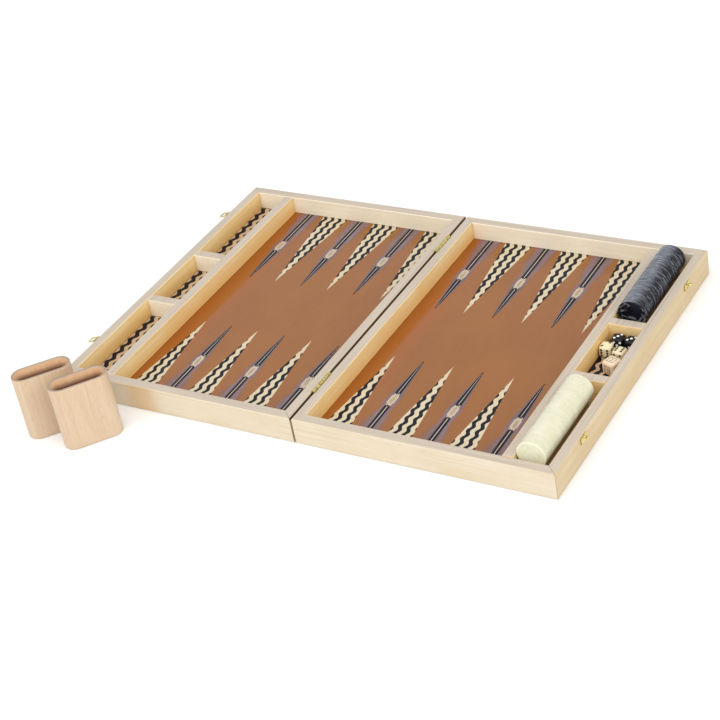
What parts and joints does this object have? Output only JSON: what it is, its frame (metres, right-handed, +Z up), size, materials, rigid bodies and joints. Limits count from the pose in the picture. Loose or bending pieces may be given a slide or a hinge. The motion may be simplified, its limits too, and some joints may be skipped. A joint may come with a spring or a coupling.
{
  "type": "backgammon set",
  "caption": "Hinged folding wooden backgammon case lying open, with checkers in its racks, dice, a doubling cube, brass latches and oval dice cups.",
  "frame": {"origin": "centre of the base half's underside", "axes": "+X from the lid half across the fold line to the base half, +Y along the fold line to the back, +Z up"},
  "size_m": [0.6195, 0.5004, 0.078],
  "materials": {
    "birch": "satin lacquer",
    "field": "semi-gloss lacquer over a printed field",
    "beech": "satin lacquer",
    "brass": "polished",
    "dark_pearl": "polished pearl",
    "light_pearl": "polished pearl",
    "black_plastic": "polished",
    "cream_plastic": "polished",
    "cube_plastic": "satin"
  },
  "bodies": {
    "base_half": {"base_back_wall": "birch", "base_floor_panel": "field", "base_front_wall": "birch", "base_hinge_wall": "birch", "base_outer_wall": "birch", "base_rack_partition": "birch", "hasp_back_keeper": "brass", "hasp_front_keeper": "brass", "hinge_back_base_leaf": "brass", "hinge_front_base_leaf": "brass"},
    "lid_half": {"hasp_back_plate": "brass", "hasp_front_plate": "brass", "hinge_back_lid_leaf": "brass", "hinge_front_lid_leaf": "brass", "lid_back_wall": "birch", "lid_floor_panel": "field", "lid_front_wall": "birch", "lid_hinge_wall": "birch", "lid_outer_wall": "birch", "lid_rack_partition": "birch"},
    "back_tongue": {"hasp_back_tongue": "brass"},
    "front_tongue": {"hasp_front_tongue": "brass"},
    "cup_back": {"dice_cup_back": "beech"},
    "cup_front": {"dice_cup_front": "beech"},
    "dark_checker_01": {"checker_dark_01": "dark_pearl"},
    "dark_checker_02": {"checker_dark_02": "dark_pearl"},
    "dark_checker_03": {"checker_dark_03": "dark_pearl"},
    "dark_checker_04": {"checker_dark_04": "dark_pearl"},
    "dark_checker_05": {"checker_dark_05": "dark_pearl"},
    "dark_checker_06": {"checker_dark_06": "dark_pearl"},
    "dark_checker_07": {"checker_dark_07": "dark_pearl"},
    "dark_checker_08": {"checker_dark_08": "dark_pearl"},
    "dark_checker_09": {"checker_dark_09": "dark_pearl"},
    "dark_checker_10": {"checker_dark_10": "dark_pearl"},
    "dark_checker_11": {"checker_dark_11": "dark_pearl"},
    "dark_checker_12": {"checker_dark_12": "dark_pearl"},
    "dark_checker_13": {"checker_dark_13": "dark_pearl"},
    "dark_checker_14": {"checker_dark_14": "dark_pearl"},
    "dark_checker_15": {"checker_dark_15": "dark_pearl"},
    "light_checker_01": {"checker_light_01": "light_pearl"},
    "light_checker_02": {"checker_light_02": "light_pearl"},
    "light_checker_03": {"checker_light_03": "light_pearl"},
    "light_checker_04": {"checker_light_04": "light_pearl"},
    "light_checker_05": {"checker_light_05": "light_pearl"},
    "light_checker_06": {"checker_light_06": "light_pearl"},
    "light_checker_07": {"checker_light_07": "light_pearl"},
    "light_checker_08": {"checker_light_08": "light_pearl"},
    "light_checker_09": {"checker_light_09": "light_pearl"},
    "light_checker_10": {"checker_light_10": "light_pearl"},
    "light_checker_11": {"checker_light_11": "light_pearl"},
    "light_checker_12": {"checker_light_12": "light_pearl"},
    "light_checker_13": {"checker_light_13": "light_pearl"},
    "light_checker_14": {"checker_light_14": "light_pearl"},
    "light_checker_15": {"checker_light_15": "light_pearl"},
    "loose_die_black_left": {"die_black_left": "black_plastic"},
    "loose_die_black_right": {"die_black_right": "black_plastic"},
    "loose_die_cream_left": {"die_cream_left": "cream_plastic"},
    "loose_die_cream_right": {"die_cream_right": "cream_plastic"},
    "loose_doubling_cube": {"doubling_cube": "cube_plastic"}
  },
  "joints": [
    {"name": "board_fold", "type": "hinge", "parent": "base_half", "child": "lid_half", "pos_m": [-0.151, 0, 0.03125], "axis": [0, -1, 0], "range_deg": [-180, 0]},
    {"name": "catch_back_swing", "type": "hinge", "parent": "lid_half", "child": "back_tongue", "pos_m": [-0.4538, 0.1405, 0.029], "axis": [0, -1, 0], "range_deg": [-105, 75]},
    {"name": "catch_front_swing", "type": "hinge", "parent": "lid_half", "child": "front_tongue", "pos_m": [-0.4538, -0.1405, 0.029], "axis": [0, -1, 0], "range_deg": [-105, 75]},
    {"name": "cup_back_lift", "type": "slide", "parent": "base_half", "child": "cup_back", "axis": [0, 0, 1], "range_m": [0, 0.09]},
    {"name": "cup_front_lift", "type": "slide", "parent": "base_half", "child": "cup_front", "axis": [0, 0, 1], "range_m": [0, 0.09]},
    {"name": "dark_checker_01_lift", "type": "slide", "parent": "base_half", "child": "dark_checker_01", "axis": [0, 0, 1], "range_m": [0, 0.05]},
    {"name": "dark_checker_02_lift", "type": "slide", "parent": "base_half", "child": "dark_checker_02", "axis": [0, 0, 1], "range_m": [0, 0.05]},
    {"name": "dark_checker_03_lift", "type": "slide", "parent": "base_half", "child": "dark_checker_03", "axis": [0, 0, 1], "range_m": [0, 0.05]},
    {"name": "dark_checker_04_lift", "type": "slide", "parent": "base_half", "child": "dark_checker_04", "axis": [0, 0, 1], "range_m": [0, 0.05]},
    {"name": "dark_checker_05_lift", "type": "slide", "parent": "base_half", "child": "dark_checker_05", "axis": [0, 0, 1], "range_m": [0, 0.05]},
    {"name": "dark_checker_06_lift", "type": "slide", "parent": "base_half", "child": "dark_checker_06", "axis": [0, 0, 1], "range_m": [0, 0.05]},
    {"name": "dark_checker_07_lift", "type": "slide", "parent": "base_half", "child": "dark_checker_07", "axis": [0, 0, 1], "range_m": [0, 0.05]},
    {"name": "dark_checker_08_lift", "type": "slide", "parent": "base_half", "child": "dark_checker_08", "axis": [0, 0, 1], "range_m": [0, 0.05]},
    {"name": "dark_checker_09_lift", "type": "slide", "parent": "base_half", "child": "dark_checker_09", "axis": [0, 0, 1], "range_m": [0, 0.05]},
    {"name": "dark_checker_10_lift", "type": "slide", "parent": "base_half", "child": "dark_checker_10", "axis": [0, 0, 1], "range_m": [0, 0.05]},
    {"name": "dark_checker_11_lift", "type": "slide", "parent": "base_half", "child": "dark_checker_11", "axis": [0, 0, 1], "range_m": [0, 0.05]},
    {"name": "dark_checker_12_lift", "type": "slide", "parent": "base_half", "child": "dark_checker_12", "axis": [0, 0, 1], "range_m": [0, 0.05]},
    {"name": "dark_checker_13_lift", "type": "slide", "parent": "base_half", "child": "dark_checker_13", "axis": [0, 0, 1], "range_m": [0, 0.05]},
    {"name": "dark_checker_14_lift", "type": "slide", "parent": "base_half", "child": "dark_checker_14", "axis": [0, 0, 1], "range_m": [0, 0.05]},
    {"name": "dark_checker_15_lift", "type": "slide", "parent": "base_half", "child": "dark_checker_15", "axis": [0, 0, 1], "range_m": [0, 0.05]},
    {"name": "light_checker_01_lift", "type": "slide", "parent": "base_half", "child": "light_checker_01", "axis": [0, 0, 1], "range_m": [0, 0.05]},
    {"name": "light_checker_02_lift", "type": "slide", "parent": "base_half", "child": "light_checker_02", "axis": [0, 0, 1], "range_m": [0, 0.05]},
    {"name": "light_checker_03_lift", "type": "slide", "parent": "base_half", "child": "light_checker_03", "axis": [0, 0, 1], "range_m": [0, 0.05]},
    {"name": "light_checker_04_lift", "type": "slide", "parent": "base_half", "child": "light_checker_04", "axis": [0, 0, 1], "range_m": [0, 0.05]},
    {"name": "light_checker_05_lift", "type": "slide", "parent": "base_half", "child": "light_checker_05", "axis": [0, 0, 1], "range_m": [0, 0.05]},
    {"name": "light_checker_06_lift", "type": "slide", "parent": "base_half", "child": "light_checker_06", "axis": [0, 0, 1], "range_m": [0, 0.05]},
    {"name": "light_checker_07_lift", "type": "slide", "parent": "base_half", "child": "light_checker_07", "axis": [0, 0, 1], "range_m": [0, 0.05]},
    {"name": "light_checker_08_lift", "type": "slide", "parent": "base_half", "child": "light_checker_08", "axis": [0, 0, 1], "range_m": [0, 0.05]},
    {"name": "light_checker_09_lift", "type": "slide", "parent": "base_half", "child": "light_checker_09", "axis": [0, 0, 1], "range_m": [0, 0.05]},
    {"name": "light_checker_10_lift", "type": "slide", "parent": "base_half", "child": "light_checker_10", "axis": [0, 0, 1], "range_m": [0, 0.05]},
    {"name": "light_checker_11_lift", "type": "slide", "parent": "base_half", "child": "light_checker_11", "axis": [0, 0, 1], "range_m": [0, 0.05]},
    {"name": "light_checker_12_lift", "type": "slide", "parent": "base_half", "child": "light_checker_12", "axis": [0, 0, 1], "range_m": [0, 0.05]},
    {"name": "light_checker_13_lift", "type": "slide", "parent": "base_half", "child": "light_checker_13", "axis": [0, 0, 1], "range_m": [0, 0.05]},
    {"name": "light_checker_14_lift", "type": "slide", "parent": "base_half", "child": "light_checker_14", "axis": [0, 0, 1], "range_m": [0, 0.05]},
    {"name": "light_checker_15_lift", "type": "slide", "parent": "base_half", "child": "light_checker_15", "axis": [0, 0, 1], "range_m": [0, 0.05]},
    {"name": "die_black_left_lift", "type": "slide", "parent": "base_half", "child": "loose_die_black_left", "axis": [0, 0, 1], "range_m": [0, 0.05]},
    {"name": "die_black_right_lift", "type": "slide", "parent": "base_half", "child": "loose_die_black_right", "axis": [0, 0, 1], "range_m": [0, 0.05]},
    {"name": "die_cream_left_lift", "type": "slide", "parent": "base_half", "child": "loose_die_cream_left", "axis": [0, 0, 1], "range_m": [0, 0.05]},
    {"name": "die_cream_right_lift", "type": "slide", "parent": "base_half", "child": "loose_die_cream_right", "axis": [0, 0, 1], "range_m": [0, 0.05]},
    {"name": "doubling_cube_lift", "type": "slide", "parent": "base_half", "child": "loose_doubling_cube", "axis": [0, 0, 1], "range_m": [0, 0.05]}
  ]
}
